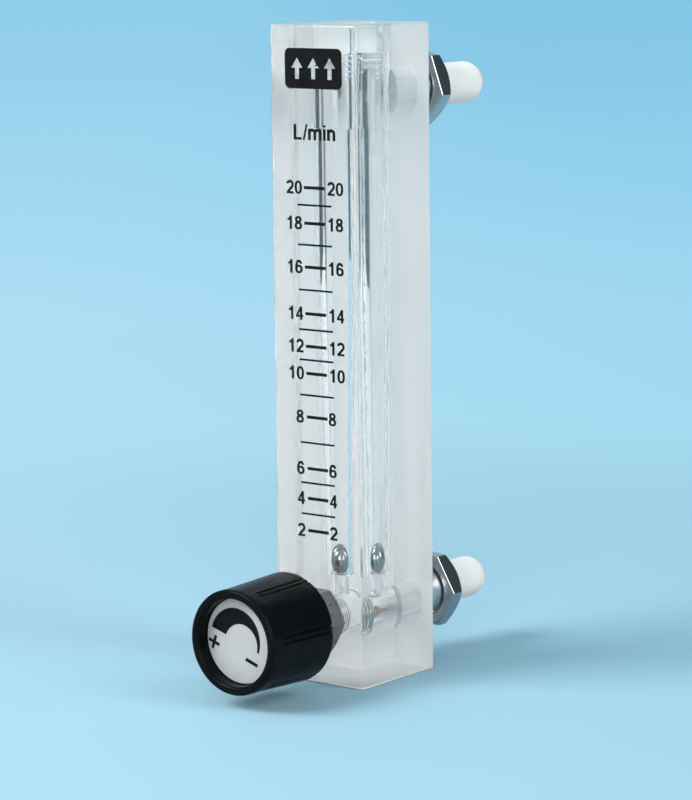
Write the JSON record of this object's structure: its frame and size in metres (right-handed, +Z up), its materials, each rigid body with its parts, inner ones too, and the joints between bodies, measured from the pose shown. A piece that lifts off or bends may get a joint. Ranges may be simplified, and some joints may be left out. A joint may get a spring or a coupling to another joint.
{
  "type": "oxygen flowmeter",
  "caption": "Panel flowmeter for oxygen: clear acrylic block with a tapered bore and ball float, a needle valve with a knob in front, and capped hose fittings behind.",
  "frame": {"origin": "middle of the block's base", "axes": "+Z up along the float bore, the knob faces -Y, the hose fittings face +Y"},
  "size_m": [0.0212, 0.0779, 0.126],
  "materials": {
    "clear_acrylic": "clear cast acrylic with polished faces",
    "clear_plug": "clear turned acrylic",
    "clear_pin": "clear turned acrylic",
    "steel_ball": "polished steel",
    "nickel_bushing": "satin nickel plate",
    "brass_stem": "turned brass",
    "white_seal": "white silicone",
    "black_knob": "black moulded plastic",
    "silver_disc": "satin silver with black print",
    "zinc_screw": "zinc plate",
    "chrome_fitting": "chrome plate",
    "chrome_nut": "chrome plate",
    "white_cap": "soft white silicone"
  },
  "bodies": {
    "housing": {"block": "clear_acrylic", "top_plug": "clear_plug", "plug_oring": "white_seal", "float_stop": "clear_pin", "valve_bushing": "nickel_bushing", "bushing_oring": "white_seal", "inlet_fitting": "chrome_fitting", "inlet_oring": "white_seal", "outlet_fitting": "chrome_fitting", "outlet_oring": "white_seal"},
    "float": {"float_ball": "steel_ball"},
    "stem_seal": {"stem_oring": "white_seal"},
    "valve_knob": {"valve_stem": "brass_stem", "knob": "black_knob", "knob_disc": "silver_disc", "knob_screw": "zinc_screw"},
    "inlet_nut": {"inlet_nut": "chrome_nut"},
    "outlet_nut": {"outlet_nut": "chrome_nut"},
    "inlet_cap": {"inlet_cap": "white_cap"},
    "outlet_cap": {"outlet_cap": "white_cap"}
  },
  "joints": [
    {"name": "float_rise", "type": "slide", "parent": "housing", "child": "float", "axis": [0, 0, 1], "range_m": [0, 0.0746]},
    {"name": "stem_travel", "type": "slide", "parent": "housing", "child": "stem_seal", "axis": [0, -1, 0], "range_m": [0, 0.003]},
    {"name": "knob_turn", "type": "hinge", "parent": "stem_seal", "child": "valve_knob", "pos_m": [0, -0.01135, 0.0128], "axis": [0, -1, 0], "range_deg": [0, 1440]},
    {"name": "inlet_nut_travel", "type": "slide", "parent": "housing", "child": "inlet_nut", "axis": [0, 1, 0], "range_m": [-0.0096, 0.001]},
    {"name": "outlet_nut_travel", "type": "slide", "parent": "housing", "child": "outlet_nut", "axis": [0, 1, 0], "range_m": [-0.0071, 0.0035]},
    {"name": "inlet_cap_pull", "type": "slide", "parent": "housing", "child": "inlet_cap", "axis": [0, 1, 0], "range_m": [0, 0.016]},
    {"name": "outlet_cap_pull", "type": "slide", "parent": "housing", "child": "outlet_cap", "axis": [0, 1, 0], "range_m": [0, 0.016]}
  ],
  "couplings": [
    {"joint": "stem_travel", "follows": "knob_turn", "m_per_rad": 0.00011936}
  ]
}
